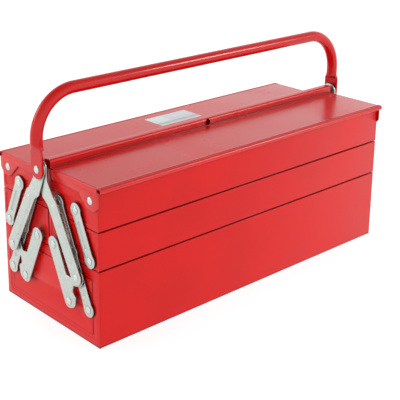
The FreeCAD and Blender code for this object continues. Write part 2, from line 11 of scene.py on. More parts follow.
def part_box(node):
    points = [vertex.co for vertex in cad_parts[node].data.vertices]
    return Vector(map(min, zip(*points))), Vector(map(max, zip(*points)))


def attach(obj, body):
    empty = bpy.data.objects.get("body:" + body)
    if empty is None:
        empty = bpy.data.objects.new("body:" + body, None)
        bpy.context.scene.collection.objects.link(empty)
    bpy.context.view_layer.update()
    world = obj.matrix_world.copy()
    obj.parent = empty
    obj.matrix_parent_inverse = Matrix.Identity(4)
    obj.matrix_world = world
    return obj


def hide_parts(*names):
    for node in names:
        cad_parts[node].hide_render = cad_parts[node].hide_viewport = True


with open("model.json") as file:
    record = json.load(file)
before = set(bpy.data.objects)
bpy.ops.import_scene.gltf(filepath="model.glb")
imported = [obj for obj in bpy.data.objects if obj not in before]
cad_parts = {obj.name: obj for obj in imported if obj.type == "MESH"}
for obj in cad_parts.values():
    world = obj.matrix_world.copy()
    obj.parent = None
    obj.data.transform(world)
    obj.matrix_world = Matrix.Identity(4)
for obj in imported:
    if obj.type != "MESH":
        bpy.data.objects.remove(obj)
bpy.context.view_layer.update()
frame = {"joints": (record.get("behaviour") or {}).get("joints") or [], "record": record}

# A closed cantilever toolbox of red powder-coated sheet steel, with zinc-plated linkages on both ends.
# Every visible piece is made here around the CAD frame, which it takes its places from. "Out" is a
# distance from the middle plane towards the front (side -1) or the rear (side 1), and "away" is a distance
# from the middle towards the left (end -1) or the right (end 1). Lengths are metres.

MM = 0.001
SIDES = {"front": -1, "rear": 1}
ENDS = {"left": -1, "right": 1}
JOINTS = {joint["name"]: joint for joint in frame["joints"]}
BODY_OF = {
    node: body
    for body, nodes in frame["record"]["behaviour"]["bodies"].items()
    for node in nodes
}


def pivot(joint):
    """A hinge's place as (out, up)."""
    _, y, z = JOINTS[joint]["pos_m"]
    return abs(y), z


BOX_LONG = pivot("trays_open")
BOX_CRANK = pivot("front_crank_turn")
MIDDLE_LONG = pivot("front_middle_tray_level")
MIDDLE_SHORT = pivot("front_short_lever_turn")
UPPER_LONG = pivot("front_upper_tray_level")
HANDLE_PIVOT = pivot("front_arm_turn")
LID_PIVOT = {word: pivot(f"{word}_lid_open") for word in SIDES}
MIDDLE_CRANK = (MIDDLE_LONG[0] - BOX_LONG[0] + BOX_CRANK[0], MIDDLE_LONG[1])
UPPER_SHORT = (UPPER_LONG[0] - MIDDLE_LONG[0] + MIDDLE_SHORT[0], UPPER_LONG[1])
TIP_LOW, TIP_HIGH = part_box("front_arm_rivets")
CRANK_TIP = (-(TIP_LOW.y + TIP_HIGH.y) / 2, (TIP_LOW.z + TIP_HIGH.z) / 2)
KNEE = (21 * MM, 170 * MM)

SHEET = 0.8 * MM
SHEET_EDGE = 0.2 * MM  # rounding of a cut edge of the sheet
PLATE_EDGE = 0.5 * MM  # rounding of a stamped lever's edge
SHANK = 2.5 * MM  # radius of a rivet's shank
HOLE = SHANK + 0.05 * MM
ARC_STEP = math.radians(9)


# --- plane outlines ------------------------------------------------------------------------------------


def rounded(corners, closed=True):
    """A line through corners (across, up, radius), each corner turned into an arc of that radius."""
    spots = [np.array(corner[:2], float) for corner in corners]
    radii = [corner[2] if len(corner) > 2 else 0 for corner in corners]
    line = []
    for index, (spot, radius) in enumerate(zip(spots, radii)):
        if not closed and index in (0, len(spots) - 1):
            line.append(spot)
            continue
        before = spots[index - 1] - spot
        after = spots[(index + 1) % len(spots)] - spot
        before /= np.linalg.norm(before)
        after /= np.linalg.norm(after)
        turn = math.pi - math.acos(float(np.clip(before @ after, -1, 1)))
        if radius <= 0 or turn < 1e-3:
            line.append(spot)
            continue
        reach = radius * math.tan(turn / 2)
        middle = spot + (before + after) / np.linalg.norm(before + after) * math.hypot(radius, reach)
        start = spot + before * reach - middle
        steps = max(2, math.ceil(turn / ARC_STEP))
        way = 1 if before[0] * after[1] - before[1] * after[0] < 0 else -1
        for step in range(steps + 1):
            angle = way * turn * step / steps
            cos, sin = math.cos(angle), math.sin(angle)
            line.append(middle + [cos * start[0] - sin * start[1], sin * start[0] + cos * start[1]])
    kept = [line[0]]
    for spot in line[1:]:
        if np.linalg.norm(spot - kept[-1]) > 1e-6:
            kept.append(spot)
    if closed and np.linalg.norm(kept[0] - kept[-1]) < 1e-6:
        kept.pop()
    return np.array(kept)


def capsule(start, stop, radius):
    """The outline of a straight band with round ends, counter-clockwise."""
    start, stop = np.array(start, float), np.array(stop, float)
    along = (stop - start) / np.linalg.norm(stop - start)
    beside = np.array([-along[1], along[0]])
    corners = [
        start - (along + beside) * radius,
        stop + (along - beside) * radius,
        stop + (along + beside) * radius,
        start - (along - beside) * radius,
    ]
    return rounded([(*corner, radius) for corner in corners])


def ring(centre, radius, count=36):
    angles = np.linspace(0, 2 * math.pi, count, endpoint=False)
    return np.array(centre) + radius * np.column_stack([np.cos(angles), np.sin(angles)])


def counter_clockwise(loop):
    across, up = loop[:, 0], loop[:, 1]
    area = np.sum(across * np.roll(up, -1) - np.roll(across, -1) * up)
    return loop if area > 0 else loop[::-1]


def inset(loop, distance):
    """The loop moved to its left by a distance: inwards, for one that runs counter-clockwise."""
    forward = np.roll(loop, -1, axis=0) - loop
    forward /= np.linalg.norm(forward, axis=1)[:, None]
    left = np.column_stack([-forward[:, 1], forward[:, 0]])
    before = np.roll(left, 1, axis=0)
    return loop + (left + before) * (distance / (1 + np.sum(left * before, axis=1)))[:, None]


def inside(points, loop):
    """Which points lie inside a loop."""
    found = np.zeros(len(points), bool)
    for (ax, ay), (bx, by) in zip(loop, np.roll(loop, -1, axis=0)):
        if ay == by:
            continue
        crosses = (points[:, 1] < ay) != (points[:, 1] < by)
        found ^= crosses & (points[:, 0] < (bx - ax) * (points[:, 1] - ay) / (by - ay) + ax)
    return found


def ribbon(corners, thickness):
    """The closed section of a sheet that follows a line of corners (across, up, radius)."""
    line = rounded(corners, closed=False)
    forward = np.gradient(line, axis=0)
    forward /= np.linalg.norm(forward, axis=1)[:, None]
    left = np.column_stack([-forward[:, 1], forward[:, 0]]) * thickness / 2
    ends = []
    for spot, ahead, beside in ((line[-1], forward[-1], left[-1]), (line[0], -forward[0], -left[0])):
        angles = np.linspace(0, math.pi, 7)[1:-1]
        ends.append([spot + beside * math.cos(a) + ahead * thickness / 2 * math.sin(a) for a in angles])
    return np.vstack([line + left, ends[0], (line - left)[::-1], ends[1]])


# --- meshes --------------------------------------------------------------------------------------------


class Piece:
    """The mesh that stands for one CAD node, gathered from several parts."""

    def __init__(self, node):
        self.node = node
        self.points = []
        self.faces = []

    def add(self, points, faces):
        first = len(self.points)
        self.points += [tuple(float(number) for number in point) for point in points]
        self.faces += [tuple(int(index) + first for index in face) for face in faces]

    def done(self, material, sharp=38):
        mesh = bpy.data.meshes.new(f"{self.node}_finished")
        mesh.from_pydata(self.points, [], self.faces)
        shape = bmesh.new()
        shape.from_mesh(mesh)
        bmesh.ops.remove_doubles(shape, verts=shape.verts, dist=1e-7)
        bmesh.ops.dissolve_degenerate(shape, edges=shape.edges, dist=1e-7)
        bmesh.ops.recalc_face_normals(shape, faces=shape.faces)
        shape.to_mesh(mesh)
        shape.free()
        mesh.shade_smooth()
        mesh.set_sharp_from_angle(angle=math.radians(sharp))
        mesh.materials.append(material)
        piece = bpy.data.objects.new(mesh.name, mesh)
        bpy.context.scene.collection.objects.link(piece)
        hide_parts(self.node)
        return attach(piece, BODY_OF[self.node])


def loft(rings, caps=True):
    """Quads between rings of equal length, closed by caps: (points, faces)."""
    count = len(rings[0])
    points = np.vstack(rings)
    faces = []
    for level in range(len(rings) - 1):
        for index in range(count):
            after = (index + 1) % count
            a, b = level * count, (level + 1) * count
            faces.append((a + index, a + after, b + after, b + index))
    if caps:
        for level in (0, len(rings) - 1):
            loop = [Vector(point) for point in rings[level]]
            faces += [[level * count + i for i in three] for three in tessellate_polygon([loop])]
    return points, faces


def swept(section, start, stop, along="x", edge=SHEET_EDGE):
    """A section run straight along X (its plane is Y, Z) or along Y (its plane is X, Z)."""
    section = counter_clockwise(section)
    rounding = [(start, edge), (start + edge * 0.3, edge * 0.3), (start + edge, 0)]
    rounding += [(stop - edge, 0), (stop - edge * 0.3, edge * 0.3), (stop, edge)]
    rings = []
    for place, cut_back in rounding if edge else [(start, 0), (stop, 0)]:
        loop = inset(section, cut_back) if cut_back else section
        column = np.full(len(loop), place)
        if along == "x":
            rings.append(np.column_stack([column, loop[:, 0], loop[:, 1]]))
        else:
            rings.append(np.column_stack([loop[:, 0], column, loop[:, 1]]))
    return loft(rings)


BELL = [(0.0, 0.0), (0.12, 0.03), (0.3, 0.2), (0.5, 0.5), (0.7, 0.8), (0.88, 0.97), (1.0, 1.0)]
GUARD = 0.35 * MM  # flat ring kept outside a pressed feature, so that its shading ends there


def pressed_field(loop, starts, width, height):
    """Rings (loop, height) of an area pressed up or down in equal steps, each starting that far inside."""
    loop = counter_clockwise(loop)
    step = height / len(starts)
    rings = []
    for count, start in enumerate(starts):
        rings.append((inset(loop, start - GUARD), count * step))
        rings += [(inset(loop, start + share * width), (count + rise) * step) for share, rise in BELL]
        rings.append((inset(loop, start + width + GUARD), (count + 1) * step))
    return rings


def pressed_rib(start, stop, radius, height, crown=0.6):
    """Rings of a long round-ended rib or, with a negative height, a groove."""
    rings = [(capsule(start, stop, radius + GUARD), 0)]
    for share, rise in BELL:
        rings.append((capsule(start, stop, radius * (1 - share * (1 - crown))), rise * height))
    return rings


def stamped(outline, holes=(), features=(), thickness=SHEET, edge=SHEET_EDGE):
    """A plate with rounded edges, holes and pressed features: points (out, up, height), faces.

    Its face is at height 0 and its back at -thickness; a feature presses both alike."""
    loops = [counter_clockwise(outline)] + [counter_clockwise(hole)[::-1] for hole in holes]

    def level(points):
        return sum(inside(points, rings[-1][0]) * rings[-1][1] for rings in features)

    borders = [inset(loop, edge) for loop in loops]
    flat = list(borders) + [loop for rings in features for loop, _ in rings]
    heights = [np.zeros(len(loop)) + level(loop) for loop in borders]
    heights += [np.full(len(loop), height) for rings in features for loop, height in rings]
    flat_points, ties, first = [], [], 0
    for loop in flat:
        flat_points += [Vector(point) for point in loop]
        ties += [(first + i, first + (i + 1) % len(loop)) for i in range(len(loop))]
        first += len(loop)
    found, _, faces, sources, _, _ = delaunay_2d_cdt(flat_points, ties, [], 0, 1e-7)
    place = {source: index for index, given in enumerate(sources) for source in given}
    height = np.zeros(len(found))
    for source, value in enumerate(np.concatenate(heights)):
        height[place[source]] = value
    found = np.array(found)
    middles = np.array([found[list(face)].mean(axis=0) for face in faces])
    solid = inside(middles, borders[0])
    for border in borders[1:]:
        solid &= ~inside(middles, border)
    faces = [face for face, keep in zip(faces, solid) if keep]
    top = np.column_stack([found, height])
    count = len(found)
    points = [top, top - [0, 0, thickness]]
    all_faces = [tuple(face) for face in faces]
    all_faces += [tuple(index + count for index in reversed(face)) for face in faces]
    first, source = 2 * count, 0
    turn_in = edge * 0.3
    for loop, border in zip(loops, borders):
        size = len(loop)
        own = [place[source + i] for i in range(size)]
        source += size
        base = height[own]
        middle_rings = []
        for shift, depth in (
            (turn_in, turn_in),
            (0, edge),
            (0, thickness - edge),
            (turn_in, thickness - turn_in),
        ):
            middle_rings.append(np.column_stack([inset(loop, shift), base - depth]))
        points += middle_rings
        rows = [own] + [list(range(first + k * size, first + (k + 1) * size)) for k in range(4)]
        rows.append([index + count for index in own])
        first += 4 * size
        for upper, lower in zip(rows, rows[1:]):
            for i in range(size):
                after = (i + 1) % size
                all_faces.append((upper[i], lower[i], lower[after], upper[after]))
    return np.vstack(points), all_faces


def stand_up(shape, side, end, face):
    """Turns a stamped plate from (out, up, height) into the frame, its face `face` away at one end."""
    points, faces = shape
    placed = np.column_stack([end * (face + points[:, 2]), side * points[:, 0], points[:, 1]])
    return placed, faces


def turned(profile, out, up, side, end, count=40):
    """A round piece on an axis along X, from a profile of (radius, away) points."""
    angles = np.linspace(0, 2 * math.pi, count, endpoint=False)
    rings = []
    for radius, away in profile:
        rings.append(
            np.column_stack(
                [
                    np.full(count, end * away),
                    side * out + radius * np.cos(angles),
                    up + radius * np.sin(angles),
                ]
            )
        )
    return loft(rings)


def loose_solid(name, points, faces):
    """An object that only serves to make another mesh."""
    mesh = bpy.data.meshes.new(name)
    mesh.from_pydata([tuple(point) for point in points], [], [tuple(face) for face in faces])
    shape = bmesh.new()
    shape.from_mesh(mesh)
    bmesh.ops.remove_doubles(shape, verts=shape.verts, dist=1e-7)
    bmesh.ops.recalc_face_normals(shape, faces=shape.faces)
    shape.to_mesh(mesh)
    shape.free()
    solid = bpy.data.objects.new(name, mesh)
    bpy.context.scene.collection.objects.link(solid)
    return solid


def bored(shape, up, radius, start, stop):
    """The shape with a round hole on the middle plane, bored along Y from start to stop."""
    body = loose_solid("to_bore", *shape)
    circle = ring((0, up), radius, 48)
    ends = [np.column_stack([circle[:, 0], np.full(48, y), circle[:, 1]]) for y in (start, stop)]
    drill = loose_solid("drill", *loft(ends))
    cut = body.modifiers.new("hole", "BOOLEAN")
    cut.operation = "DIFFERENCE"
    cut.solver = "EXACT"
    cut.object = drill
    finished = body.evaluated_get(bpy.context.evaluated_depsgraph_get())
    mesh = finished.to_mesh()
    points = np.array([tuple(vertex.co) for vertex in mesh.vertices])
    faces = [tuple(polygon.vertices) for polygon in mesh.polygons]
    finished.to_mesh_clear()
    for solid in (body, drill):
        mesh = solid.data
        bpy.data.objects.remove(solid)
        bpy.data.meshes.remove(mesh)
    return points, faces


# --- materials -----------------------------------------------------------------------------------------


def scaled(colour, share):
    return tuple(number * share for number in colour)


class Shader:
    """A small node tree that ends in a Principled shader."""

    def __init__(self, name):
        self.material = bpy.data.materials.new(name)
        self.material.use_nodes = True
        self.tree = self.material.node_tree
        self.skin = self.tree.nodes["Principled BSDF"]
        self.place = self.node("ShaderNodeTexCoord").outputs["Object"]

    def node(self, kind, **settings):
        made = self.tree.nodes.new(kind)
        for name, value in settings.items():
            setattr(made, name, value)
        return made

    def link(self, source, target):
        self.tree.links.new(source, target)

    def noise(self, scale, detail=2.0, stretch=None):
        texture = self.node("ShaderNodeTexNoise")
        texture.inputs["Scale"].default_value = scale
        texture.inputs["Detail"].default_value = detail
        place = self.place
        if stretch:
            mapping = self.node("ShaderNodeMapping")
            mapping.inputs["Scale"].default_value = stretch
            self.link(place, mapping.inputs["Vector"])
            place = mapping.outputs["Vector"]
        self.link(place, texture.inputs["Vector"])
        return texture.outputs["Fac"]

    def cells(self, scale):
        texture = self.node("ShaderNodeTexVoronoi")
        texture.inputs["Scale"].default_value = scale
        self.link(self.place, texture.inputs["Vector"])
        return texture.outputs["Color"]

    def spread(self, source, low, high, start=0.3, stop=0.7):
        """Maps a pattern to numbers from low to high."""
        change = self.node("ShaderNodeMapRange", interpolation_type="SMOOTHSTEP")
        for name, value in (("From Min", start), ("From Max", stop), ("To Min", low), ("To Max", high)):
            change.inputs[name].default_value = value
        self.link(source, change.inputs["Value"])
        return change.outputs["Result"]

    def ramp(self, source, *stops):
        """Maps a pattern to colours: (position, colour), ..."""
        node = self.node("ShaderNodeValToRGB")
        ramp = node.color_ramp
        ramp.interpolation = "EASE"
        while len(ramp.elements) < len(stops):
            ramp.elements.new(0.5)
        for element, (position, colour) in zip(ramp.elements, stops):
            element.position = position
            element.color = (*colour, 1)
        self.link(source, node.inputs["Fac"])
        return node.outputs["Color"]

    def mix(self, share, first, second):
        node = self.node("ShaderNodeMix", data_type="RGBA")
        colours = [socket for socket in node.inputs if socket.type == "RGBA"]
        for source, socket in ((first, colours[0]), (second, colours[1])):
            if isinstance(source, tuple):
                socket.default_value = (*source, 1)
            else:
                self.link(source, socket)
        self.link(share, node.inputs[0])
        return [socket for socket in node.outputs if socket.type == "RGBA"][0]

    def painted_crease_shade(self, colour, darkest, reach, start):
        """Painted shade: darkens a colour in creases and beside edges that stand over it, by ambient
        occlusion.
        """
        shade = self.node("ShaderNodeAmbientOcclusion", samples=12)
        shade.inputs["Distance"].default_value = reach
        open_share = self.spread(shade.outputs["AO"], 0, 1, start, 1.0)
        return self.mix(open_share, darkest, colour)

    def bumps(self, *patterns):
        """Bump from (pattern, depth) pairs, chained."""
        normal = None
        for pattern, depth in patterns:
            bump = self.node("ShaderNodeBump")
            bump.inputs["Strength"].default_value = 1
            bump.inputs["Distance"].default_value = depth
            self.link(pattern, bump.inputs["Height"])
            if normal:
                self.link(normal, bump.inputs["Normal"])
            normal = bump.outputs["Normal"]
        self.link(normal, self.skin.inputs["Normal"])

    def set(self, **values):
        for name, value in values.items():
            self.skin.inputs[name.replace("_", " ")].default_value = value


def red_coat(name, bright, roughness, gloss):
    """Powder coat with fine orange peel and a faint wave in the sheet; gloss is its index of refraction."""
    shader = Shader(name)
    deep = scaled(bright, 0.9)
    clouds = shader.noise(9, 4)
    peel = shader.noise(620, 2)
    colour = shader.ramp(clouds, (0.3, deep), (0.7, bright))
    # painted shade: the red coat is darkened in creases, seams, pressed steps and beside rivets (ambient
    # occlusion)
    colour = shader.painted_crease_shade(colour, scaled(bright, 0.45), 4 * MM, 0.72)
    shader.link(colour, shader.skin.inputs["Base Color"])
    shader.link(shader.spread(clouds, roughness - 0.04, roughness + 0.05), shader.skin.inputs["Roughness"])
    shader.bumps((shader.noise(5, 1), 0.5 * MM), (peel, 0.012 * MM))
    shader.set(IOR=gloss)
    return shader.material


def zinc(name, pale, roughness):
    """Bright zinc plate: fine spangle, faint rolling lines, cloudy passivation."""
    shader = Shader(name)
    spangle = shader.cells(420)
    clouds = shader.noise(70, 4)
    dull = scaled(pale, 0.8)
    warm = (pale[0] * 0.97, pale[1], pale[2] * 0.93)
    colour = shader.mix(shader.spread(spangle, 0.15, 0.85, 0, 1), dull, pale)
    colour = shader.mix(shader.spread(clouds, 0, 0.7), colour, warm)
    # painted shade: the zinc is darkened in creases, at rib feet and round rivet heads (ambient occlusion)
    colour = shader.painted_crease_shade(colour, scaled(pale, 0.4), 5 * MM, 0.7)
    shader.link(colour, shader.skin.inputs["Base Color"])
    shader.link(shader.spread(clouds, roughness - 0.07, roughness + 0.09), shader.skin.inputs["Roughness"])
    rolling = shader.noise(900, 2, stretch=(1, 1, 0.06))
    shader.bumps((clouds, 0.05 * MM), (rolling, 0.006 * MM))
    shader.set(Metallic=0.82)
    return shader.material


def blank_label(name):
    """Silvery sticker with plain tinted areas and nothing printed on it."""
    shader = Shader(name)
    low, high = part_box("label")
    split = shader.node("ShaderNodeSeparateXYZ")
    shader.link(shader.place, split.inputs["Vector"])
    across = shader.spread(split.outputs["X"], 0, 1, low.x, high.x)
    back = shader.spread(split.outputs["Y"], 0, 1, low.y, high.y)
    tint = shader.ramp(
        across,
        (0.0, (0.64, 0.73, 0.67)),
        (0.28, (0.66, 0.75, 0.72)),
        (0.36, (0.56, 0.6, 0.64)),
        (1.0, (0.58, 0.6, 0.66)),
    )
    rim = shader.ramp(back, (0.0, (0.72, 0.72, 0.7)), (0.16, (0.34, 0.36, 0.4)), (0.3, (0.66, 0.69, 0.71)))
    colour = shader.mix(shader.spread(back, 1, 0, 0.1, 0.35), tint, rim)
    clouds = shader.noise(160, 3)
    colour = shader.mix(shader.spread(clouds, 0, 0.35), colour, (0.76, 0.8, 0.8))
    shader.link(colour, shader.skin.inputs["Base Color"])
    shader.link(shader.spread(clouds, 0.32, 0.45), shader.skin.inputs["Roughness"])
    shader.bumps((clouds, 0.04 * MM))
    shader.set(Metallic=0.15)
    return shader.material


RED_TRAY = red_coat("red_sheet_tray", (0.62, 0.002, 0.002), 0.34, 1.34)
RED_LID = red_coat("red_sheet_lid", (0.62, 0.003, 0.003), 0.25, 1.46)
RED_TUBE = red_coat("red_tube", (0.55, 0.002, 0.002), 0.16, 1.4)
ZINC = zinc("zinc_plate", (0.55, 0.585, 0.56), 0.27)
RIVET = zinc("rivet_steel", (0.64, 0.66, 0.66), 0.18)
LABEL = blank_label("label_paper")


# --- sheet-steel boxes and trays -----------------------------------------------------------------------

FOLD = 1.6 * MM  # bend radius of the sheet, at its middle
HEM = 6 * MM  # how far the hem of a rim reaches down
HEM_TURN = 0.9 * MM  # its bend radius
BOX_BORDER = 8 * MM  # flat border of an end panel of the bottom box
BOX_STEPS = (0, 5.8 * MM)  # where the steps of its pressed field start, inside that border
TRAY_BORDER = 4 * MM
TRAY_STEPS = (0,)
STEP = 1.3 * MM  # width of a step
PRESSED = 0.8 * MM  # depth of a pressed field, all its steps together
UPPER_FIELD = 6.5 * MM  # gap from a lid's rivets down to the pressed field
FIELD_CORNER = 6 * MM  # radius of its corners
PANEL_CORNER = 0.8 * MM


def make_shell(node, inner, outer, bottom, inner_top, outer_top):
    """Floor and two walls from one folded sheet, with a hem turned inwards along each rim."""
    half = SHEET / 2
    near, far = inner + half, outer - half
    floor = bottom + half
    corners = [
        (near + 2 * HEM_TURN, inner_top - HEM),
        (near + 2 * HEM_TURN, inner_top - half, HEM_TURN),
        (near, inner_top - half, HEM_TURN),
        (near, floor, FOLD),
        (far, floor, FOLD),
        (far, outer_top - half, HEM_TURN),
        (far - 2 * HEM_TURN, outer_top - half, HEM_TURN),
        (far - 2 * HEM_TURN, outer_top - HEM),
    ]
    low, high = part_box(node)
    side = -1 if high.y < 0 else 1
    section = ribbon(corners, SHEET) * [side, 1]
    piece = Piece(node)
    piece.add(*swept(section, low.x, high.x, edge=0.3 * MM))
    piece.done(RED_TRAY)


def field_inside(near, bottom, far, top, border):
    """The corners of a pressed field that keeps a flat border on all four sides."""
    return near + border, bottom + border, far - border, top - border


def make_end_panel(node, side, end, corners, field, steps, pivots):
    """A flat end panel with a pressed field and a hole for each rivet's shank."""
    outline = rounded([(*corner, PANEL_CORNER) for corner in corners])
    low_out, bottom, high_out, top = field
    area = rounded(
        [
            (low_out, bottom, FIELD_CORNER),
            (high_out, bottom, FIELD_CORNER),
            (high_out, top, FIELD_CORNER),
            (low_out, top, FIELD_CORNER),
        ]
    )
    holes = [ring(spot, HOLE) for spot in pivots]
    features = [pressed_field(area, steps, STEP, -PRESSED)]
    face = max(abs(corner.x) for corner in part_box(node))
    piece = Piece(node)
    piece.add(*stand_up(stamped(outline, holes, features), side, end, face))
    piece.done(RED_TRAY, sharp=55)


def make_bottom_box():
    low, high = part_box("box_shell")
    make_shell("box_shell", low.y, high.y, low.z, high.z, high.z)
    corners = [(low.y, low.z), (high.y, low.z), (high.y, high.z), (low.y, high.z)]
    field = field_inside(low.y, low.z, high.y, high.z, BOX_BORDER)
    pivots = [(side * out, up) for side in SIDES.values() for out, up in (BOX_CRANK, BOX_LONG)]
    for word, end in ENDS.items():
        make_end_panel(f"box_end_{word}", 1, end, corners, field, BOX_STEPS, pivots)


def out_and_up(node):
    """A node's box as (nearest out, farthest out, lowest, highest)."""
    low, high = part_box(node)
    near, far = sorted((abs(low.y), abs(high.y)))
    return near, far, low.z, high.z


def make_middle_tray(word, side):
    near, far, bottom, top = out_and_up(f"{word}_middle_shell")
    make_shell(f"{word}_middle_shell", near, far, bottom, top, top)
    corners = [(near, bottom), (far, bottom), (far, top), (near, top)]
    field = field_inside(near, bottom, far, top, TRAY_BORDER)
    for end_word, end in ENDS.items():
        pivots = (MIDDLE_CRANK, MIDDLE_LONG, MIDDLE_SHORT)
        make_end_panel(f"{word}_middle_end_{end_word}", side, end, corners, field, TRAY_STEPS, pivots)


RIM_DROP = {"front": 5 * MM, "rear": 7.5 * MM}  # how much lower an upper tray's outer rim is
RIM_CUT = 8 * MM  # length of the slope between the two heights


def make_upper_tray(word, side):
    near, far, bottom, top = out_and_up(f"{word}_upper_shell")
    outer_top = top - RIM_DROP[word]
    make_shell(f"{word}_upper_shell", near, far, bottom, top, outer_top)
    corners = [(near, bottom), (far, bottom), (far, outer_top), (far - RIM_CUT, top), (near, top)]
    field_top = LID_PIVOT[word][1] - UPPER_FIELD
    field = (near + TRAY_BORDER, bottom + TRAY_BORDER, far - TRAY_BORDER, field_top)
    for end_word, end in ENDS.items():
        pivots = (UPPER_LONG, UPPER_SHORT, LID_PIVOT[word])
        make_end_panel(f"{word}_upper_end_{end_word}", side, end, corners, field, TRAY_STEPS, pivots)


# --- lids ----------------------------------------------------------------------------------------------

BEAD = 3.5 * MM  # outer radius of a lid's rolled edge
GROOVE = 0.9 * MM  # crease behind the roll
RIDGE_FRONT = 9.5 * MM  # the ridge's front face, out
RIDGE_FOLD = 3 * MM
RIDGE_FOOT = 205 * MM  # height of the lower edge behind the ridge
FLAP_INNER = {"front": 11.5 * MM, "rear": 7.5 * MM}  # an end skirt's inner edge, out
FLAP_DEPTH = {"front": 14.5 * MM, "rear": 10 * MM}
LID_TOP = {"front": 210 * MM, "rear": 202 * MM}
EAR = 12 * MM  # how far an ear reaches below its rivet
FLUSH = 0.02 * MM  # a face that runs under another one of the same sheet lies this much lower
PADLOCK = (214.8 * MM, 4.5 * MM)  # height and radius of the hole
CORNER_STRIP = 6 * MM  # height of the folded strip between a lid's top and its end skirt


def rolled_edge(side, top, reach):
    """Section of the outer edge: top sheet, crease and roll, as (y, z)."""
    half = SHEET / 2
    out, up = reach - BEAD, top - BEAD
    radius = BEAD - half
    angles = np.radians(np.arange(-150, 91, 12))
    roll = [(out + radius * math.cos(a), up + radius * math.sin(a)) for a in angles]
    crease = [
        (out - 0.5 * MM, top - half, 0.5 * MM),
        (out - 1.6 * MM, top - half - GROOVE, 0.45 * MM),
        (out - 2.7 * MM, top - half, 0.5 * MM),
        (out - 5 * MM, top - half),
    ]
    return ribbon(roll + crease, SHEET) * [side, 1], out - 5 * MM


def top_channel(word, side, inner, outer, half_length):
    """The flat top with a strip folded down at each end."""
    top = LID_TOP[word] - SHEET / 2
    away = half_length - SHEET / 2
    foot = top - CORNER_STRIP
    corners = [(-away, foot), (-away, top, FOLD), (away, top, FOLD), (away, foot)]
    start, stop = sorted((side * inner, side * outer))
    return swept(ribbon(corners, SHEET), start, stop, along="y", edge=0)


def end_skirt(word, side, end, reach, half_length):
    """Skirt and ear under one end of a lid."""
    top = LID_TOP[word]
    out, up = LID_PIVOT[word]
    skirt = top - FLAP_DEPTH[word]
    tangent = EAR * math.tan(math.radians(22.5))
    notch_out = out - tangent - (skirt - (up - EAR))
    corners = [
        (FLAP_INNER[word], top - FOLD),
        (FLAP_INNER[word], skirt, 1.5 * MM),
        (notch_out, skirt, 3 * MM),
        (out - tangent, up - EAR, EAR * 0.98),
        (out + 9 * MM, up - EAR, 9 * MM),
        (out + 17 * MM, up - 4 * MM, 6 * MM),
        (out + 17 * MM, top - 2 * BEAD - 0.5 * MM),
        (reach - 2 * BEAD - 0.3 * MM, top - BEAD - 1.5 * MM),
        (reach - 2 * BEAD - 0.3 * MM, top - FOLD),
    ]
    hole = ring((out, up), HOLE)
    return stand_up(stamped(rounded(corners), [hole]), side, end, half_length - FLUSH)


def make_front_lid():
    side = SIDES["front"]
    low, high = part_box("front_lid")
    half, top, reach = SHEET / 2, LID_TOP["front"], -low.y
    ridge_top = high.z - half
    back = high.y - half
    piece = Piece("front_lid")
    edge_section, inner_edge = rolled_edge(side, top, reach)
    piece.add(*swept(edge_section, low.x, high.x, edge=0))
    ridge_foot = -RIDGE_FRONT - 5 * MM
    piece.add(*top_channel("front", side, -ridge_foot, inner_edge, high.x))
    front = -RIDGE_FRONT + half
    ridge = [
        (ridge_foot, top - half),
        (front, top - half, 1 * MM),
        (front, ridge_top, RIDGE_FOLD),
        (back, ridge_top, RIDGE_FOLD),
        (back, RIDGE_FOOT + half),
    ]
    wall = swept(ribbon(ridge, SHEET), low.x, high.x, edge=0)
    piece.add(*bored(wall, *PADLOCK, front - 2 * MM, front + 2 * MM))
    for end in ENDS.values():
        piece.add(*end_skirt("front", side, end, reach, high.x))
    piece.done(RED_LID)


def make_rear_lid():
    side = SIDES["rear"]
    low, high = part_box("rear_lid")
    half, top, reach = SHEET / 2, LID_TOP["rear"], high.y
    piece = Piece("rear_lid")
    edge_section, inner_edge = rolled_edge(side, top, reach)
    piece.add(*swept(edge_section, low.x, high.x, edge=0))
    flange = low.y + half
    inner = flange + 6 * MM
    piece.add(*top_channel("rear", side, inner, inner_edge, high.x))
    foot = [(inner, top - half), (flange, top - half, FOLD), (flange, high.z - half)]
    wall = swept(ribbon(foot, SHEET), low.x, high.x, edge=0)
    piece.add(*bored(wall, *PADLOCK, flange - 2 * MM, flange + 2 * MM))
    for end in ENDS.values():
        piece.add(*end_skirt("rear", side, end, reach, high.x))
    piece.done(RED_LID)


def make_label():
    """A thin sticker with rounded corners, lying on the rear lid."""
    low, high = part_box("label")
    corners = [(low.x, low.y), (high.x, low.y), (high.x, high.y), (low.x, high.y)]
    outline = rounded([(*corner, 1.5 * MM) for corner in corners])
    points, faces = stamped(outline, thickness=high.z - low.z, edge=0.05 * MM)
    piece = Piece("label")
    piece.add(points + [0, 0, high.z], faces)
    piece.done(LABEL)


# --- linkage plates ------------------------------------------------------------------------------------

PLATE = 1.8 * MM
EYE = 9.5 * MM
WAIST = 7.9 * MM  # half the width of a lever between its eyes
NECK = 9 * MM  # radius of the hollow between an eye and the waist


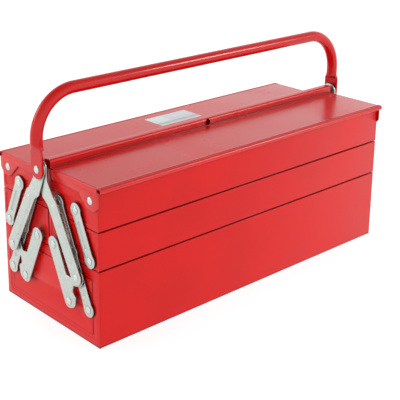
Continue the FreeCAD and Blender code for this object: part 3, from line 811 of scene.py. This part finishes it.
def lever_outline(start, stop, eyes):
    """A straight bar with a round eye at each of the given distances from its start."""
    start, stop = np.array(start), np.array(stop)
    length = np.linalg.norm(stop - start)
    along = (stop - start) / length
    beside = np.array([-along[1], along[0]])
    reach = math.sqrt((EYE + NECK) ** 2 - (WAIST + NECK) ** 2)
    lean = math.atan2(WAIST + NECK, reach)
    edge = []
    for eye in eyes:
        if eye > 0:
            for angle in np.linspace(math.pi / 2, lean, 6):
                edge.append((eye - reach + NECK * math.cos(angle), WAIST + NECK - NECK * math.sin(angle)))
        first = math.pi if eye <= 0 else math.pi - lean
        last = 0 if eye >= length - 1e-6 else lean
        for angle in np.arange(first, last - 1e-6, -ARC_STEP / 1.5):
            edge.append((eye + EYE * math.cos(angle), EYE * math.sin(angle)))
        edge.append((eye + EYE * math.cos(last), EYE * math.sin(last)))
        if eye < length - 1e-6:
            for angle in np.linspace(lean, math.pi / 2, 6):
                edge.append((eye + reach - NECK * math.cos(angle), WAIST + NECK - NECK * math.sin(angle)))
    upper = [start + along * s + beside * w for s, w in edge]
    lower = [start + along * s - beside * w for s, w in reversed(edge)]
    loop = [upper[0]]
    for spot in upper[1:] + lower:
        if np.linalg.norm(spot - loop[-1]) > 1e-5:
            loop.append(spot)
    if np.linalg.norm(loop[0] - loop[-1]) < 1e-5:
        loop.pop()
    return np.array(loop)


def between(start, stop, share):
    return tuple(np.array(start) + (np.array(stop) - np.array(start)) * share)


def make_plate(node, side, end, outline, holes, features):
    low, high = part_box(node)
    face = max(abs(low.x), abs(high.x))
    shape = stamped(outline, holes, features, thickness=PLATE, edge=PLATE_EDGE)
    piece = Piece(node)
    piece.add(*stand_up(shape, side, end, face))
    piece.done(ZINC, sharp=50)


RIB_HEIGHT = 0.9 * MM
LONG_RIB = 3.6 * MM  # half widths of the ribs
SHORT_RIB = 3 * MM
ARM_RIB = 5.2 * MM
FULL_ROUND = 0.99  # share of the full radius that keeps neighbouring arcs apart


def make_long_lever(node, side, end):
    pivots = [BOX_LONG, MIDDLE_LONG, UPPER_LONG]
    first = math.dist(BOX_LONG, MIDDLE_LONG)
    whole = math.dist(BOX_LONG, UPPER_LONG)
    outline = lever_outline(BOX_LONG, UPPER_LONG, (0, first, whole))
    ribs = []
    for lower, upper in ((BOX_LONG, MIDDLE_LONG), (MIDDLE_LONG, UPPER_LONG)):
        ends = between(lower, upper, 0.27), between(lower, upper, 0.73)
        ribs.append(pressed_rib(*ends, LONG_RIB, -RIB_HEIGHT))
    make_plate(node, side, end, outline, [ring(spot, HOLE) for spot in pivots], ribs)


def make_short_lever(node, side, end):
    pivots = [MIDDLE_SHORT, UPPER_SHORT]
    outline = lever_outline(*pivots, (0, math.dist(*pivots)))
    rib = pressed_rib(between(*pivots, 0.27), between(*pivots, 0.74), SHORT_RIB, -RIB_HEIGHT)
    make_plate(node, side, end, outline, [ring(spot, HOLE) for spot in pivots], [rib])


def make_crank(node, side, end):
    """Straight back between its two fixed pivots, and a lobe that carries the arm's rivet."""
    box_eye, tray_eye, tip = (np.array(spot) for spot in (BOX_CRANK, MIDDLE_CRANK, CRANK_TIP))
    along = (tray_eye - box_eye) / np.linalg.norm(tray_eye - box_eye)
    beside = np.array([along[1], -along[0]])
    lean = np.array([math.sin(math.radians(30)), math.cos(math.radians(30))])
    across = np.array([lean[1], -lean[0]])
    lobe, foot, head = 10 * MM, 9.2 * MM, 10.3 * MM
    head_round = head * 0.96  # less than full, because the crank's sides spread towards its head
    hollow_right = tip - across * lobe - lean * 13 * MM
    hollow_left = box_eye + along * 33.5 * MM + beside * 9.8 * MM
    corners = [
        (*(box_eye + (beside - along) * foot), foot),
        (*(box_eye + np.array([14, 9.5]) * MM), 2.5 * MM),
        (*(box_eye + np.array([7.5, 15.5]) * MM), 2.5 * MM),
        (*(box_eye + np.array([9.5, 24]) * MM), 2.5 * MM),
        (*(tip + (across - lean * 0.75) * lobe), lobe * 0.8),
        (*(tip + (lean + across) * lobe), lobe * FULL_ROUND),
        (*(tip + (lean - across) * lobe), lobe * FULL_ROUND),
        (*hollow_right, 4 * MM),
        (*hollow_left, 3.5 * MM),
        (*(tray_eye + (along + beside) * head), head_round),
        (*(tray_eye + (along - beside) * head), head_round),
        (*(box_eye - (beside + along) * foot), foot),
    ]
    slot_start = tip + np.array([-0.3, 0.3]) * MM
    slot_stop = tip + np.array([-1.2, -4.1]) * MM
    slot = capsule(slot_start, slot_stop, SHANK + 0.8 * MM)
    holes = [ring(BOX_CRANK, HOLE), ring(MIDDLE_CRANK, HOLE), slot]
    make_plate(node, side, end, rounded(corners), holes, [])


def make_arm(node, side, end):
    """From the handle's rivet to the knee, then out to the crank's lobe, with a long pressed rib."""
    tip, knee, top = (np.array(spot) for spot in (CRANK_TIP, KNEE, HANDLE_PIVOT))
    along = (tip - knee) / np.linalg.norm(tip - knee)
    beside = np.array([-along[1], along[0]])
    foot, head = 9.5 * MM, 12 * MM
    corners = [
        (*(tip + (along - beside) * foot), foot * FULL_ROUND),
        (*(tip + (along + beside) * foot), foot * FULL_ROUND),
        (*(knee + beside * foot), 3 * MM),
        (*(knee + np.array([3, 9]) * MM), 3 * MM),
        (*(top + np.array([head + 1 * MM, -13.5 * MM])), 4 * MM),
        (*(top + [head, 2 * MM]), 2 * MM),
        (*(top + [head, head]), head * 0.8),
        (*(top + [-head, head]), head * FULL_ROUND),
        (*(top + [-head, -2 * MM]), 2 * MM),
        (*(knee + np.array([-26, 20]) * MM), 4 * MM),
        (*(knee + np.array([-18, 2]) * MM), 4 * MM),
        (*(knee - beside * foot), 4 * MM),
    ]
    holes = [ring(CRANK_TIP, HOLE), ring(HANDLE_PIVOT, HOLE)]
    rib = pressed_rib(between(KNEE, CRANK_TIP, 0.08), between(KNEE, CRANK_TIP, 0.76), ARM_RIB, RIB_HEIGHT)
    make_plate(node, side, end, rounded(corners), holes, [rib])


# --- rivets --------------------------------------------------------------------------------------------

HEAD = 5 * MM  # outer radii of a rivet's head, tail and spacer collar
TAIL = 4.5 * MM
COLLAR = 5.5 * MM
HEAD_HEIGHT = 1.4 * MM
TAIL_HEIGHT = 1.3 * MM
CENTRE = 0.0001 * MM  # radius of a turned piece's end, in place of a single point


def rivet(face, seat, collar=None):
    """Profile (radius, away) of a rivet: a domed head on `face` and a closed end inside `seat`."""
    dome = [(CENTRE, face + HEAD_HEIGHT)]
    for share in np.linspace(0.2, 1, 7):
        angle = share * math.radians(68)
        radius = HEAD * math.sin(angle) / math.sin(math.radians(72))
        dome.append((radius, face + HEAD_HEIGHT * (0.18 + 0.82 * math.cos(share * math.pi / 2))))
    profile = dome + [(HEAD, face + 0.12 * MM), (HEAD * 0.97, face), (SHANK, face)]
    if collar:
        start, stop = collar
        profile += [(SHANK, stop), (COLLAR - 0.2 * MM, stop), (COLLAR, stop - 0.2 * MM)]
        profile += [(COLLAR, start + 0.1 * MM), (COLLAR - 0.1 * MM, start), (SHANK, start)]
    profile += [(SHANK, seat), (TAIL, seat), (TAIL, seat - TAIL_HEIGHT * 0.6)]
    profile += [(TAIL * 0.8, seat - TAIL_HEIGHT), (CENTRE, seat - TAIL_HEIGHT)]
    return profile


def layer(node):
    """(inner face, outer face) of a plate, away."""
    low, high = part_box(node)
    return tuple(sorted((abs(low.x), abs(high.x))))


def make_rivets():
    play = 0.1 * MM
    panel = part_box("box_end_right")[1].x
    seat = panel - SHEET - PRESSED
    field = panel - PRESSED
    lever_in, lever_out = layer("front_long_lever_right")
    crank_in, crank_out = layer("front_crank_right")
    on_lever = rivet(lever_out + play, seat, (field, lever_in - play))
    on_crank = rivet(crank_out + play, seat, (field, crank_in - play))
    lid_face = layer("front_lid")[1] + play
    on_box = ((BOX_CRANK, on_crank), (BOX_LONG, on_lever))
    handle_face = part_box("handle_rivets")[1].x - HEAD_HEIGHT
    on_handle = rivet(handle_face, layer("front_arm_right")[0] - play)
    groups = {
        "box_rivets": [(side, spot, profile) for side in SIDES.values() for spot, profile in on_box],
        "handle_rivets": [(-1, HANDLE_PIVOT, on_handle)],
    }
    for word, side in SIDES.items():
        groups[f"{word}_middle_rivets"] = [
            (side, MIDDLE_CRANK, on_crank),
            (side, MIDDLE_LONG, on_lever),
            (side, MIDDLE_SHORT, on_lever),
        ]
        groups[f"{word}_upper_rivets"] = [(side, UPPER_LONG, on_lever), (side, UPPER_SHORT, on_lever)]
        groups[f"{word}_lid_rivets"] = [(side, LID_PIVOT[word], rivet(lid_face, panel - SHEET))]
        arm_in, arm_out = layer(f"{word}_arm_right")
        collar = (crank_out + play, arm_in)
        groups[f"{word}_arm_rivets"] = [(side, CRANK_TIP, rivet(arm_out, crank_in - play, collar))]
    for node, rivets in groups.items():
        piece = Piece(node)
        for end in ENDS.values():
            for side, (out, up), profile in rivets:
                piece.add(*turned(profile, out, up, side, end))
        piece.done(RIVET, sharp=40)


# --- handle --------------------------------------------------------------------------------------------

BOW_BEND = 57 * MM  # bend radius at the tube's middle
FLATTEN_FROM = 240 * MM  # height where the tube's flanks start to widen
FLAT_AT = 226 * MM  # height where they reach the flattened end's full width
PRESS_FROM = 237.5 * MM  # height of the crease at the tube's flanks
PRESS_RUN = 4 * MM  # how far below the crease the tube is fully flat
PRESS_TILT = 3.5 * MM  # how much higher the crease is on the tube's outer face
TAB = 3.2 * MM
TAB_ROUND = 0.6 * MM  # rounding of the flattened end's rim


def smooth(share):
    share = min(max(share, 0.0), 1.0)
    return share * share * (3 - 2 * share)


def leg_ring(height, angles, tube, tab_half):
    """One level of a leg of the handle, as (away from the leg's middle, y), round above and flat below."""
    widen = 1 - smooth((height - FLAT_AT) / (FLATTEN_FROM - FLAT_AT))
    below = max(0.0, HANDLE_PIVOT[1] - height)
    tip = math.sqrt(max(tab_half**2 - below**2, 0))
    spots = []
    for angle in angles:
        cos, sin = math.cos(angle), math.sin(angle)
        flat_y = math.copysign(abs(sin) ** (1 - 0.72 * widen), sin) * tip
        y = sin * tube * (1 - widen) + flat_y * widen
        crease = PRESS_FROM + PRESS_TILT * cos
        pressed = 1 - smooth((height - (crease - PRESS_RUN)) / PRESS_RUN)
        rim = min(1.0, max(0.0, tip - abs(y)) / TAB_ROUND) if widen > 0.5 else 1.0
        flat_x = math.copysign(min(1.0, abs(cos) * 6) ** 0.6, cos) * TAB / 2 * (0.55 + 0.45 * rim)
        spots.append((cos * tube * (1 - pressed) + flat_x * pressed, y))
    return np.array(spots)


def make_handle():
    """One bent tube whose ends are pressed flat and rounded about their rivets.

    The ends aren't drilled here: the heads of the rivets cover where the holes would be."""
    low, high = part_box("handle")
    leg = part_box("handle_rivets")[1].x - HEAD_HEIGHT - 0.1 * MM - TAB / 2
    tube = high.x - leg
    grip = high.z - tube
    tab_half = high.y
    turn = np.linspace(0, 2 * math.pi, 64, endpoint=False)
    heights = [low.z + tab_half * (1 - math.cos(a)) for a in np.radians([3, 8, 14, 22, 32, 45, 60, 75, 90])]
    heights += list(np.arange(heights[-1] + 2 * MM, FLAT_AT - 2 * MM, 2 * MM))
    heights += list(np.arange(FLAT_AT - 2 * MM, FLATTEN_FROM + 2 * MM, 0.6 * MM))
    left = []
    for height in heights:
        spots = leg_ring(height, turn, tube, tab_half)
        left.append(np.column_stack([-leg - spots[:, 0], spots[:, 1], np.full(len(turn), height)]))
    knee = grip - BOW_BEND
    away, y = np.cos(turn) * tube, np.sin(turn) * tube
    for height in np.arange(heights[-1] + 1 * MM, knee, 4 * MM):
        left.append(np.column_stack([-leg - away, y, np.full(len(turn), height)]))
    for angle in np.radians(np.arange(0, 91, 3.0)):
        x = -leg + BOW_BEND - (BOW_BEND + away) * math.cos(angle)
        z = knee + (BOW_BEND + away) * math.sin(angle)
        left.append(np.column_stack([x, y, z]))
    right = [points * [-1, 1, 1] for points in reversed(left)]
    piece = Piece("handle")
    piece.add(*loft(left + right))
    piece.done(RED_TUBE, sharp=60)


# --- the whole toolbox ---------------------------------------------------------------------------------

make_bottom_box()
for word, side in SIDES.items():
    make_middle_tray(word, side)
    make_upper_tray(word, side)
    for end_word, end in ENDS.items():
        make_long_lever(f"{word}_long_lever_{end_word}", side, end)
        make_short_lever(f"{word}_short_lever_{end_word}", side, end)
        make_crank(f"{word}_crank_{end_word}", side, end)
        make_arm(f"{word}_arm_{end_word}", side, end)
make_front_lid()
make_rear_lid()
make_label()
make_rivets()
make_handle()


# --- floor, light and camera ---------------------------------------------------------------------------


def make_floor():
    """A wide pale sheet that glows a little, so that it stays white around the box."""
    mesh = bpy.data.meshes.new("floor")
    mesh.from_pydata([(-6, -6, 0), (6, -6, 0), (6, 6, 0), (-6, 6, 0)], [], [(0, 1, 2, 3)])
    shader = Shader("floor")
    pale = shader.ramp(shader.noise(3, 2), (0.3, (0.49, 0.49, 0.49)), (0.7, (0.51, 0.51, 0.51)))
    shader.link(pale, shader.skin.inputs["Base Color"])
    shader.link(pale, shader.skin.inputs["Emission Color"])
    shader.set(Roughness=0.9, Emission_Strength=1.4)
    mesh.materials.append(shader.material)
    floor = bpy.data.objects.new("floor", mesh)
    bpy.context.scene.collection.objects.link(floor)


LOW_SKY = 1.4  # brightness near the horizon
HIGH_SKY = 0.4  # and overhead


def make_lights():
    """A studio that is brightest near the horizon, and two lamps that catch folded edges."""
    world = bpy.data.worlds.new("studio")
    world.use_nodes = True
    nodes, links = world.node_tree.nodes, world.node_tree.links
    split = nodes.new("ShaderNodeSeparateXYZ")
    links.new(nodes.new("ShaderNodeTexCoord").outputs["Generated"], split.inputs["Vector"])
    fade = nodes.new("ShaderNodeMapRange")
    for name, value in (("From Min", 0.15), ("From Max", 0.95), ("To Min", LOW_SKY), ("To Max", HIGH_SKY)):
        fade.inputs[name].default_value = value
    links.new(split.outputs["Z"], fade.inputs["Value"])
    links.new(fade.outputs["Result"], nodes["Background"].inputs["Strength"])
    nodes["Background"].inputs["Color"].default_value = (1, 1, 1, 1)
    bpy.context.scene.world = world
    for name, place, size, power in (
        ("edge lamp front", (1.5, -1.4, 1.15), 0.45, 11),
        ("edge lamp rear", (-1.35, 1.5, 1.1), 0.9, 9),
    ):
        lamp = bpy.data.lights.new(name, "AREA")
        lamp.size = size
        lamp.energy = power
        light = bpy.data.objects.new(name, lamp)
        light.location = place
        light.rotation_euler = (-Vector(place)).to_track_quat("-Z", "Y").to_euler()
        bpy.context.scene.collection.objects.link(light)


CAMERA_PLACE = (-903.5 * MM, -942.5 * MM, 619.0 * MM)
CAMERA_TURN = -41.75  # degrees about Z, 0 looks along +Y
CAMERA_TILT = -17.19
CAMERA_ROLL = 0.33
CAMERA_LENS = 87.63  # millimetres, for a frame 36 wide
CAMERA_SHIFT = (0.075, -0.20)


def make_camera():
    data = bpy.data.cameras.new("camera")
    camera = bpy.data.objects.new("camera", data)
    bpy.context.scene.collection.objects.link(camera)
    turn = Matrix.Rotation(math.radians(CAMERA_TURN), 4, "Z")
    tilt = Matrix.Rotation(math.radians(90 + CAMERA_TILT), 4, "X")
    roll = Matrix.Rotation(math.radians(CAMERA_ROLL), 4, "Z")
    camera.matrix_world = Matrix.Translation(CAMERA_PLACE) @ turn @ tilt @ roll
    data.sensor_width = 36
    data.lens = CAMERA_LENS
    data.shift_x, data.shift_y = CAMERA_SHIFT
    data.clip_start = 0.05
    bpy.context.scene.camera = camera


make_floor()
make_lights()
make_camera()
bpy.context.scene.view_settings.view_transform = "Standard"
